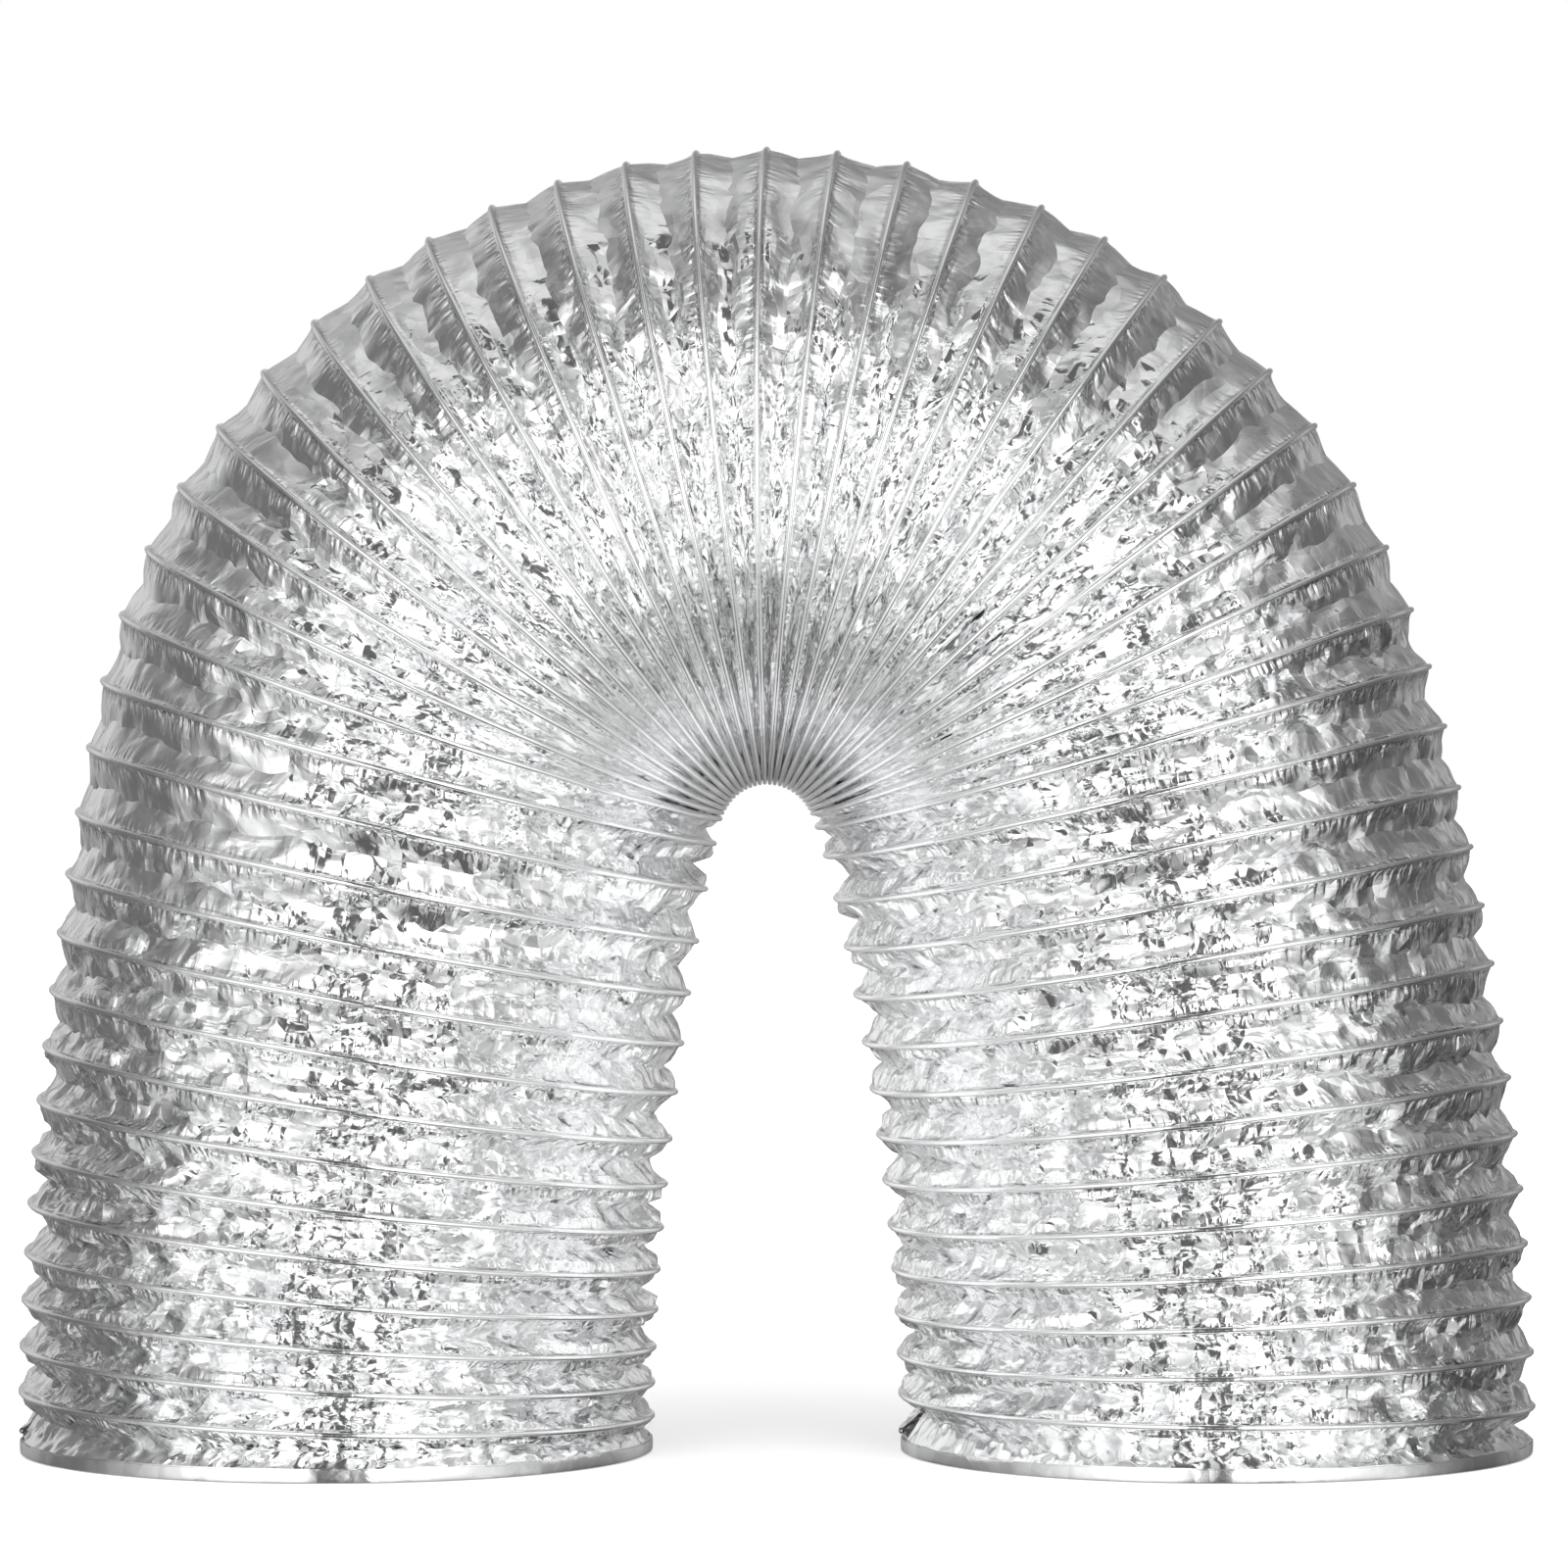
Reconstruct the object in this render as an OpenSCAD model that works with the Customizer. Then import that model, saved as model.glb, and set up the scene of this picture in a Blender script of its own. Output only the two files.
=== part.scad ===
// Flexible foil air duct, six inch size, bent into an upside-down U that stands on its two open ends.
// A spring-steel wire helix is bonded under the crests of a thin pleated aluminium foil tube, and each
// cut end is finished with a narrow folded hem that slips over a duct spigot.
// Frame: X runs from the left leg to the right leg, Y to the back, Z up, and the floor is Z = 0.
// The duct has no rigid length: it is divided every two turns into sections that bend or slide against
// each other, so the wire and the foil of each section are one solid each.

/* [Duct] */
// Diameter over the wire crests
crest_d = 156.4; // [152:0.2:157]
// Thickness of the foil laminate
foil_t = 0.12; // [0.1:0.01:0.14]
// Width of the wire (round 0.9 wire, drawn square with the same cross-section)
wire_w = 0.8; // [0.6:0.05:0.8]

/* [Bend] */
// Height of the top of the arch above the floor
arch_h = 319.8; // [312:0.2:330]
// Tilt from one turn to the next in the tight arch, in degrees
arch_tilt = 5.95; // [5.6:0.05:5.95]
// Distance between turns at the middle of the tube in the tight arch
arch_pitch = 9.28; // [9.28:0.02:10]
// Turns from the top of the arch, down the left side, that have its full tilt
tight_left = 12.15; // [11:0.05:12.5]
// Turns from the top of the arch, down the right side, that have its full tilt
tight_right = 11.2; // [11:0.05:12.5]
// Turns over which that tilt dies away into the left leg
ease_left = 3.55; // [3:0.05:6]
// Turns over which that tilt dies away into the right leg
ease_right = 4.4; // [3:0.05:6]

/* [Legs] */
// How closely the left foot is gathered, as a share of the distance between turns higher up
left_gather = 0.63; // [0.6:0.01:1]
// How closely the right foot is gathered, as a share of the distance between turns higher up
right_gather = 0.82; // [0.6:0.01:1]
// How much more than the rest of a leg its last four turns lean, as a share
foot_lean = 0.6; // [0:0.1:1]

/* [Pleats] */
// Depth of the pleat between two turns that are 11.5 mm apart
pleat_depth = 4.8; // [3:0.1:5.5]
// Deepest pleat, where the turns are closed up
pleat_depth_max = 7; // [6:0.1:7.5]

/* [Ends] */
// Height of the folded hem at each cut end
hem_h = 3; // [2:0.1:3.2]
// Inner diameter of the hem, which slips over a duct spigot
hem_bore_d = 154; // [150:0.2:154]
// Thickness of the folded hem
hem_t = 0.3; // [0.2:0.05:0.4]

/* [Hidden] */
$fn = 96;

SILVER = [0.80, 0.81, 0.82];
BRIGHT = [0.88, 0.89, 0.90];
STEEL = [0.45, 0.46, 0.48];

// ---- the helix, in steps of a sixteenth of a turn ----
A = 16;                 // steps in a turn
turns = 53.5;           // turns of wire from end to end
N = turns * A;          // steps in all
top_turn = 27;          // the turn at the top of the arch
R = crest_d / 2;        // crest radius
end_z = hem_h + 1.5;    // height of the wire's two ends
crest_w = 0.55;         // half width of the foil over the wire
deg = PI / 180;

// Where one section ends and the next begins, in turns. A section that bends in the plane of the arch
// starts at the back of the tube and one that sways sideways starts at its outer side, so the wire
// always parts on the axis of its own joint and its ends stay together.
// b = bend, w = sway, s = stretch
kinds = "sbwsbwbbbsbbsbbsbbbbwbswbs";
function cut(n) = n == 0 ? 0 : n == 27 ? N : (2 * n + (kinds[n - 1] == "w" ? 0 : 0.25)) * A;

function sum(v) = v * [for (x = v) 1];
function clamp01(x) = max(0, min(1, x));
function smooth(x) = let (c = clamp01(x)) c * c * (3 - 2 * c);
function mid(j) = abs((j + 0.5) / A - top_turn);   // turns away from the top, at the middle of a step

// how much of the tight arch's tilt a step has: all of it near the top, then dying away down the legs
share = [for (j = [0:N - 1]) let (l = j + 0.5 < top_turn * A)
    pow(1 - clamp01((mid(j) - (l ? tight_left : tight_right)) / (l ? ease_left : ease_right)), 2)];
// the legs' own slow tilt, which grows near the feet
fade = [for (j = [0:N - 1]) (1 - share[j]) * (1 + foot_lean * clamp01((mid(j) - 23) / 4))];
half = top_turn * A;
function part_of(v, left) = [for (j = left ? [0:half - 1] : [half:N - 1]) v[j]];
// each half of the duct turns through exactly a quarter circle
leg_tilt_l = (90 * A - arch_tilt * sum(part_of(share, true))) / sum(part_of(fade, true));
leg_tilt_r = (90 * A - arch_tilt * sum(part_of(share, false))) / sum(part_of(fade, false));
tilt = [for (j = [0:N - 1]) (arch_tilt * share[j] + (j < half ? leg_tilt_l : leg_tilt_r) * fade[j]) / A];
// angle of the tube's axis from straight up, at each step
psi = [for (j = 0, a = 0; j <= N; a = a + (j < N ? tilt[j] : 0), j = j + 1) a];
function psi_mid(j) = (psi[j] + psi[j + 1]) / 2;

// distance between turns: tight in the arch, open in the shoulders, gathered again towards the feet
open = [for (j = [0:N - 1]) smooth((mid(j) - 12) / 2.5)];
gather = [for (j = [0:N - 1]) 1 + ((j < half ? left_gather : right_gather) - 1) * (mid(j) - 14.5) / 12.5];
rise_arch = [for (j = [0:N - 1]) arch_pitch * (1 - open[j]) * abs(cos(psi_mid(j))) / A];
rise_open = [for (j = [0:N - 1]) open[j] * gather[j] * abs(cos(psi_mid(j))) / A];
// the open pitch that brings the top of the arch to its height, and both feet to the floor
open_l = (arch_h - R - end_z - sum(part_of(rise_arch, true))) / sum(part_of(rise_open, true));
open_r = (arch_h - R - end_z - sum(part_of(rise_arch, false))) / sum(part_of(rise_open, false));
pitch = [for (j = [0:N - 1]) arch_pitch * (1 - open[j]) + (j < half ? open_l : open_r) * open[j] * gather[j]];

// the tube's axis in the XZ plane
axis0 = [for (j = 0, p = [0, end_z]; j <= N;
    p = j < N ? p + pitch[j] / A * [sin(psi_mid(j)), cos(psi_mid(j))] : p, j = j + 1) p];
shift = -(axis0[0][0] + axis0[N][0]) / 2;
function axis_at(j) = [axis0[j][0] + shift, 0, axis0[j][1]];
function along(j) = [sin(psi[j]), 0, cos(psi[j])];              // direction of the tube's axis
function turned(j) = 360 * (j % A) / A;
function radial(j) = [-cos(turned(j)) * cos(psi[j]), sin(turned(j)), cos(turned(j)) * sin(psi[j])];
function crest(j) = axis_at(j) + R * radial(j);
function unit(v) = v / norm(v);
function lerp(a, b, f) = a + (b - a) * f;

// ---- foil: crest over the wire, straight flanks, a valley between turns ----
function depth(s) = max(2, min(pleat_depth_max, pleat_depth + 0.5 * (11.5 - s)));
left_hem = [axis_at(0)[0], 0, hem_h];
right_hem = [axis_at(N)[0], 0, hem_h];
function hem_edge(c, j, r) = [c[0] + r * radial(j)[0] / norm([radial(j)[0], radial(j)[1]]),
    r * radial(j)[1] / norm([radial(j)[0], radial(j)[1]]), c[2] + 0.05];
// the fold between the wire's first (or last) turn and the hem grows with the room that it has
function end_fold(j, c, s) = min(s / 2, crest_w + (norm(crest(j) - hem_edge(c, j, R - 0.9)) - crest_w) / 2);
function valley_up(j) = j + A <= N
    ? (crest(j) + crest(j + A)) / 2 - depth(norm(crest(j + A) - crest(j))) * unit(radial(j) + radial(j + A))
    : let (s = norm(crest(N) - crest(N - A)), u = end_fold(j, right_hem, s))
        crest(j) + u * along(j) - depth(s) * u / (s / 2) * radial(j);
function valley_down(j) = j - A >= 0 ? valley_up(j - A)
    : let (s = norm(crest(A) - crest(0)), u = end_fold(j, left_hem, s))
        crest(j) - u * along(j) - depth(s) * u / (s / 2) * radial(j);
seam = 0.1;    // half the gap between the foil of two sections
// one row of points at step j: crest left, crest right, valley towards the next turn; outer, then inner
function flank_in(from, to, back) = let (f = unit(to - from)) to + foil_t * unit(back - (back * f) * f);
function row6(j, edge) = let (c = crest(j), a = along(j), r = radial(j),
    v = valley_up(j) - (edge ? seam * a : [0, 0, 0]))
    [c - crest_w * a, c + crest_w * a, v,
     c - (crest_w - foil_t) * a - foil_t * r, c + (crest_w - foil_t) * a - foil_t * r,
     edge ? flank_in(c + crest_w * a, v, -a) : v - 1.5 * foil_t * r];
function low2(j, edge) = let (c = crest(j), a = along(j), v = valley_down(j) + (edge ? seam * a : [0, 0, 0]))
    [v, flank_in(c - crest_w * a, v, a)];
// the last step of a section stops just short of the cut
short = 0.006;
function drawn(j, k0, k1) = j == k0 ? [j, j + 1] : j == k1 ? [j, j - 1] : [j, j];
function nudged(p, q, j, k0, k1) = (j == k0 || j == k1) ? lerp(p, q, short) : p;
function quad(a, b, c, d) = [[a, b, c], [a, c, d]];
function flat(v) = [for (x = v) each x];
function walls(loop) = let (n = len(loop)) flat([for (i = [0:n - 1]) let (a = loop[i], b = loop[(i + 1) % n])
    quad(b[0], a[0], a[1], b[1])]);

module foil_section(n) {
    k0 = cut(n - 1);
    k1 = cut(n);
    first = n == 1;
    last = n == 27;
    rows = [for (j = [k0:k1]) let (e = !last && j > k1 - A, d = drawn(j, k0, k1),
        p = row6(d[0], e), q = row6(d[1], e)) [for (i = [0:5]) nudged(p[i], q[i], j, k0, k1)]];
    lows = [for (j = [k0:k0 + A - 1]) let (d = drawn(j, k0, k1), p = low2(d[0], !first), q = low2(d[1], !first))
        [for (i = [0:1]) nudged(p[i], q[i], j, k0, k1)]];
    hem = first ? [for (j = [0:A]) [for (r = [R - 0.9, R - 0.9 - foil_t])
            lerp(hem_edge(left_hem, j, r), hem_edge(left_hem, j == 0 ? 1 : A - 1, r), j == 0 || j == A ? short : 0)]]
        : last ? [for (j = [N - A:N]) [for (r = [R - 0.9, R - 0.9 - foil_t])
            lerp(hem_edge(right_hem, j, r), hem_edge(right_hem, j == N ? N - 1 : N - A + 1, r),
                j == N || j == N - A ? short : 0)]]
        : [];
    points = concat(flat(rows), flat(lows), flat(hem));
    base_low = 6 * (k1 - k0 + 1);
    base_hem = base_low + 2 * A;
    // numbers of the outer and inner point of each line at step j
    function cl(j) = [6 * (j - k0), 6 * (j - k0) + 3];
    function cr(j) = [6 * (j - k0) + 1, 6 * (j - k0) + 4];
    function up(j) = [6 * (j - k0) + 2, 6 * (j - k0) + 5];
    function lo(j) = j - A >= k0 ? up(j - A) : [base_low + 2 * (j - k0), base_low + 2 * (j - k0) + 1];
    function he(i) = [base_hem + 2 * i, base_hem + 2 * i + 1];
    function skin(a, b, c, d) = concat(quad(a[0], b[0], c[0], d[0]), [[a[1], c[1], b[1]], [a[1], d[1], c[1]]]);
    body_faces = flat([for (j = [k0:k1 - 1]) concat(skin(lo(j), lo(j + 1), cl(j + 1), cl(j)),
        skin(cl(j), cl(j + 1), cr(j + 1), cr(j)), skin(cr(j), cr(j + 1), up(j + 1), up(j)))]);
    hem_faces = first ? flat([for (i = [0:A - 1]) skin(he(i), he(i + 1), lo(i + 1), lo(i))])
        : last ? flat([for (i = [0:A - 1]) skin(up(N - A + i), up(N - A + i + 1), he(i + 1), he(i))]) : [];
    low_loop = concat(first ? [for (i = [0:A]) he(i)] : [for (j = [k0:k0 + A - 1]) lo(j)],
        [up(k0), cr(k0), cl(k0)], first ? [lo(0)] : []);
    high_loop = concat([lo(k1), cl(k1), cr(k1)],
        last ? concat([up(N)], [for (i = [A:-1:0]) he(i)]) : [for (j = [k1:-1:k1 - A + 1]) up(j)]);
    color(SILVER) polyhedron(points, concat(body_faces, hem_faces, walls(low_loop), walls(high_loop)), convexity = 10);
}

// ---- wire: one length of the helix, under the crests ----
module wire_section(n) {
    k0 = cut(n - 1);
    k1 = cut(n);
    h = wire_w / 2;
    rw = foil_t + 0.03 + h;
    function ring(j) = let (c = crest(j) - rw * radial(j), a = h * along(j), r = h * radial(j))
        [c - a + r, c + a + r, c + a - r, c - a - r];
    rings = [for (j = [k0:k1]) let (d = drawn(j, k0, k1), p = ring(d[0]), q = ring(d[1]))
        [for (i = [0:3]) nudged(p[i], q[i], j, k0, k1)]];
    m = 4 * (k1 - k0);
    sides = flat([for (j = [0:k1 - k0 - 1], i = [0:3]) let (i2 = (i + 1) % 4)
        quad(4 * j + i, 4 * (j + 1) + i, 4 * (j + 1) + i2, 4 * j + i2)]);
    color(STEEL) polyhedron(flat(rings), concat(sides, quad(0, 1, 2, 3), quad(m + 3, m + 2, m + 1, m)), convexity = 10);
}

// ---- folded hem at a cut end: the bore that slips over a spigot ----
module end_hem(c) {
    color(BRIGHT) translate([c[0], 0, 0]) difference() {
        cylinder(h = hem_h, r = hem_bore_d / 2 + hem_t, $fn = 180);
        translate([0, 0, -1]) cylinder(h = hem_h + 2, r = hem_bore_d / 2, $fn = 180);
    }
}

end_hem(left_hem);  // left_end_hem
end_hem(right_hem);  // right_end_hem
for (n = [1:27]) {
    foil_section(n);
    wire_section(n);
}
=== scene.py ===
import math

import bpy
import numpy as np
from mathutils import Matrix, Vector


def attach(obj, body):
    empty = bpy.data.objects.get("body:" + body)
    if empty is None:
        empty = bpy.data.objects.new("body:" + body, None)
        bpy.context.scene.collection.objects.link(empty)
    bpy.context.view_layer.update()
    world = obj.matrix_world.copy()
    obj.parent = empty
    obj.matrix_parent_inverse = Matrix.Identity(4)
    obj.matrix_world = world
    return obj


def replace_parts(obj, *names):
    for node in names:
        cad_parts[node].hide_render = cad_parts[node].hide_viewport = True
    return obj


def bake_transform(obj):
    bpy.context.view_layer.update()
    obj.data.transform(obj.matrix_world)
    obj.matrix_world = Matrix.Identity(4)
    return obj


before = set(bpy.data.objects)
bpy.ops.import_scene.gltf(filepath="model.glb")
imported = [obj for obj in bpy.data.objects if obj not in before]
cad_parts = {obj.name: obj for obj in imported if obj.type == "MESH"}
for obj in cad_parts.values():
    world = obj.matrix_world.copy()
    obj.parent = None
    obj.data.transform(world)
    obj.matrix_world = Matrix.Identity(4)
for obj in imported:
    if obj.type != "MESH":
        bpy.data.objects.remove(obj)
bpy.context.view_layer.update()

MM = 0.001

# ------------------------------------------------------------------ the helix
# The same curve as part.scad draws: a left-handed wire helix round an axis bent into an upside-down U.
# All lengths here are millimetres; they become metres when a mesh is made.
A, TURNS, TOP = 16, 53.5, 27
N = int(TURNS * A)
R, END_Z, HEM_H = 78.2, 4.5, 3.0
ARCH_H, ARCH_TILT, ARCH_PITCH, GATHER_L, GATHER_R = 319.8, 5.95, 9.28, 0.63, 0.82
TIGHT_L, TIGHT_R, EASE_L, EASE_R, FOOT_LEAN = 12.15, 11.2, 3.55, 4.4, 0.6
KINDS = "sbwsbwbbbsbbsbbsbbbbwbswbs"          # s stretch, b bend, w sway: the joint after each section
CUTS = [0.0] + [2 * n + (0.0 if KINDS[n - 1] == "w" else 0.25) for n in range(1, 27)] + [TURNS]


def smooth(x):
    x = np.clip(x, 0, 1)
    return x * x * (3 - 2 * x)


tm = (np.arange(N) + 0.5) / A
mid = np.abs(tm - TOP)
left = np.arange(N) < TOP * A
share = (1 - np.clip((mid - np.where(left, TIGHT_L, TIGHT_R)) / np.where(left, EASE_L, EASE_R), 0, 1)) ** 2
fade = (1 - share) * (1 + FOOT_LEAN * np.clip((mid - 23) / 4, 0, 1))
leg_l = (90 * A - ARCH_TILT * share[left].sum()) / fade[left].sum()
leg_r = (90 * A - ARCH_TILT * share[~left].sum()) / fade[~left].sum()
tilt = (ARCH_TILT * share + np.where(left, leg_l, leg_r) * fade) / A
PSI = np.concatenate([[0], np.cumsum(tilt)])
pm = np.radians((PSI[1:] + PSI[:-1]) / 2)
opn = smooth((mid - 12) / 2.5)
gather = 1 + (np.where(left, GATHER_L, GATHER_R) - 1) * (mid - 14.5) / 12.5
ra = ARCH_PITCH * (1 - opn) * np.abs(np.cos(pm)) / A
ro = opn * gather * np.abs(np.cos(pm)) / A
open_l = (ARCH_H - R - END_Z - ra[left].sum()) / ro[left].sum()
open_r = (ARCH_H - R - END_Z - ra[~left].sum()) / ro[~left].sum()
pitch = ARCH_PITCH * (1 - opn) + np.where(left, open_l, open_r) * opn * gather
AX = np.cumsum(np.concatenate([[[0, END_Z]], np.stack([np.sin(pm), np.cos(pm)], 1) * pitch[:, None] / A]), 0)
AX[:, 0] -= (AX[0, 0] + AX[-1, 0]) / 2
FOOT_L, FOOT_R = AX[0, 0], AX[-1, 0]


def at(t):
    """Centre of the tube, direction of its axis, and direction out to the wire, at these turns."""
    t = np.clip(t, 0, TURNS)
    j = t * A
    steps = np.arange(N + 1)
    p = np.radians(np.interp(j, steps, PSI))
    o = np.zeros_like(p)
    c = np.stack([np.interp(j, steps, AX[:, 0]), o, np.interp(j, steps, AX[:, 1])], -1)
    a = np.stack([np.sin(p), o, np.cos(p)], -1)
    th = 2 * np.pi * t
    r = np.stack([-np.cos(th) * np.cos(p), np.sin(th), np.cos(th) * np.sin(p)], -1)
    return c, a, r


def unit(v):
    return v / np.maximum(np.linalg.norm(v, axis=-1, keepdims=True), 1e-12)


def lerp(a, b, f):
    return a + (b - a) * f


def wave(n, gap, seed):
    """A smooth random curve between -1 and 1, with a new value every gap places."""
    v = np.random.default_rng(seed).uniform(-1, 1, int(n / gap) + 4)
    x = np.arange(n) / gap
    i = x.astype(int)
    f = smooth(x - i)
    return v[i] * (1 - f) + v[i + 1] * f


def folds(n, least, most, inward, outward, seed):
    """A zigzag with sharp turns at uneven distances: folds that alternate in and out."""
    r = np.random.default_rng(seed)
    places, heights, x, side = [0], [0.0], 0, 1
    while x < n + most:
        x += int(r.integers(least, most + 1))
        places.append(x)
        heights.append(r.uniform(*inward) if side > 0 else -r.uniform(*outward))
        side = -side if r.random() < 0.85 else side
    return np.interp(np.arange(n), places, heights)


def planes(s, w, cell, seed, shear=0.0):
    """Flat facets with sharp creases between them: the difference of two polyhedral caps over random points."""
    def cap(seed):
        x, y = (s + shear * w) / cell, w / cell
        ix, iy = np.floor(x).astype(int), np.floor(y).astype(int)
        best = np.full(x.shape, -1e18)
        table = np.random.default_rng(seed).uniform(0, 1, (4096, 3))
        for dx in (-1, 0, 1):
            for dy in (-1, 0, 1):
                cx, cy = ix + dx, iy + dy
                k = (cx * 73 + cy * 991 + cx * cy * 7) % 4096
                px, py = cx + table[k, 0], cy + table[k, 1]
                # the plane that touches the paraboloid above (px, py), measured from this point's own cap
                best = np.maximum(best, -((x - px) ** 2 + (y - py) ** 2) - 0.25 * table[k, 2])
        return best
    return cell * (cap(seed) - cap(seed + 1))


# ------------------------------------------------------------------ the foil's grid
# One long strip of foil is wound along the wire. Columns run along it and rows run across it:
# row 0 is the valley below, rows 7 to 12 wrap the wire, and row 19 is the valley above,
# which the next turn of the strip shares as its row 0.
NC = 384                    # columns in a turn
NR = 7                      # rows in a flank
BEAD = 6                    # points round the wire
ROWS = 2 * NR + BEAD        # 20
COLS = int(TURNS * NC)
BEAD_R = 0.75               # radius of the foil round the wire
FOOT_ANGLE = np.radians([-106, -64, -21, 21, 64, 106])
DEPTH, DEPTH_MAX = 4.8, 7.0

rng = np.random.default_rng(20)
col = np.arange(COLS + 1)
jit = rng.uniform(-0.28, 0.28, COLS + 1)
jit[[0, -1]] = 0
tau_v = (col + jit) / NC                              # where a column meets the valley above it
slant = wave(COLS + 1, 150, 3) * 2.6 + wave(COLS + 1, 23, 4) * 0.8
slant *= np.clip(np.minimum(col, COLS - col) / 40, 0, 1)
jit2 = rng.uniform(-0.28, 0.28, COLS + 1)
jit2[[0, -1]] = 0
tau_c = (col + jit2 + slant / (2 * np.pi * R) * NC) / NC   # where it crosses the wire
tau_c = np.clip(tau_c, 0, TURNS)

C, T, RAD = at(tau_c)
room_next = np.linalg.norm(at(np.clip(tau_c + 1, 0, TURNS))[0] + R * at(tau_c + 1)[2] - C - R * RAD, axis=1)
room_next[tau_c > TURNS - 1] = 10
room_back = np.linalg.norm(at(np.clip(tau_c - 1, 0, TURNS))[0] + R * at(tau_c - 1)[2] - C - R * RAD, axis=1)
room_back[tau_c < 1] = 10
tight = np.minimum(room_next, room_back)
lump = np.clip(0.46 * tight, 0.52, BEAD_R)[:, None]
bead = [C + (R - lump) * RAD + lump * (np.cos(f) * RAD + np.sin(f) * T) for f in FOOT_ANGLE]
wob = wave(COLS + 1, 5, 5)[:, None] * 0.05


def depth(s):
    return np.clip(DEPTH + 0.5 * (11.5 - s), 2.0, DEPTH_MAX)


def seen_depth(s):
    """Where the turns are closed up, crumpled foil fills the pleat, so it looks less deep than it is."""
    return np.minimum(depth(s), 0.9 + 0.41 * s)


# spacing of the turns on this side of the tube, and how much room the foil has to crumple
v_n = COLS + 1 - NC
c0, a0, r0 = at(tau_v[:v_n])
c1, a1, r1 = at(tau_v[:v_n] + 1)
k0, k1 = c0 + R * r0, c1 + R * r1
gap_v = np.linalg.norm(k1 - k0, axis=1)
room_v = smooth((gap_v - 1.6) / 7.0)
taut_v = 1 - 0.75 * smooth((gap_v - 12.0) / 4.5)

tuck = folds(COLS + 1, 3, 8, (0.3, 1.3), (0.1, 0.8), 11) * 0.6 + folds(COLS + 1, 8, 18, (0.0, 1.3), (0.0, 0.7), 12) * 0.7
tuck = np.minimum(tuck, 1.25)
drop = seen_depth(gap_v) + room_v * np.clip(gap_v / 11, 0, 1) ** 2 * (0.45 + (0.35 + 0.65 * taut_v) * tuck[:v_n])
drop = np.minimum(drop, 9.0)
side = (wave(v_n, 9, 13) * 0.07 + wave(v_n, 3, 14) * 0.05) * gap_v * room_v
valley = (k0 + k1) / 2 - drop[:, None] * unit(r0 + r1) + side[:, None] * unit(k1 - k0)

# the first turn's lower fold and the last turn's upper fold, which meet the hems
def hem_edge(t, foot, r, z):
    _, _, q = at(t)
    flat = unit(np.stack([q[:, 0], q[:, 1]], -1))
    return np.stack([foot + r * flat[:, 0], r * flat[:, 1], np.full(len(flat), z)], -1)


def end_fold(t, foot, sign):
    c, a, r = at(t)
    k = c + R * r
    s = np.linalg.norm(at(np.full(1, 1.0))[0] + R * at(np.full(1, 1.0))[2] - at(np.zeros(1))[0] - R * at(np.zeros(1))[2]) \
        if sign < 0 else np.linalg.norm(at(np.full(1, TURNS))[0] + R * at(np.full(1, TURNS))[2]
                                        - at(np.full(1, TURNS - 1))[0] - R * at(np.full(1, TURNS - 1))[2])
    u = np.minimum(s / 2, 0.6 + (np.linalg.norm(k - hem_edge(t, foot, R - 0.9, HEM_H + 0.05), axis=1) - 0.6) / 2)
    u = u[:, None]
    return k + sign * u * a - (depth(s) + 0.3) * u / (s / 2) * r


low_v = end_fold(tau_v[:NC + 1], FOOT_L, -1)
high_v = end_fold(tau_v[COLS - NC:], FOOT_R, 1)
end_tuck = (folds(NC + 1, 2, 6, (0.2, 1.0), (0.1, 0.6), 15) * np.clip(np.linspace(0.1, 1.2, NC + 1), 0, 1))[:, None]
low_v -= end_tuck * at(tau_v[:NC + 1])[2] * 0.8
high_v -= end_tuck[::-1] * at(tau_v[COLS - NC:])[2] * 0.8

grid = np.zeros((COLS + 1, ROWS, 3))
for i in range(BEAD):
    grid[:, NR + i] = bead[i] - (wob * RAD if 0 < i < BEAD - 1 else 0)
grid[:v_n, ROWS - 1] = valley
grid[v_n:, ROWS - 1] = high_v[1:]
grid[NC:, 0] = valley
grid[:NC, 0] = low_v[:NC]

# how much a flank may crumple, per column, below and above the wire
room_up = np.concatenate([room_v * taut_v, np.full(NC, 0.8)])
room_lo = np.concatenate([np.full(NC, 0.8), room_v * taut_v])
arc = 2 * np.pi * R * tau_c
patch = np.clip(0.55 + 0.75 * wave(COLS + 1, 31, 21) + 0.3 * wave(COLS + 1, 9, 22), 0.15, 1.0)


gap_up = np.concatenate([gap_v, np.full(NC, 6.0)])
gap_lo = np.concatenate([np.full(NC, 6.0), gap_v])


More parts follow.
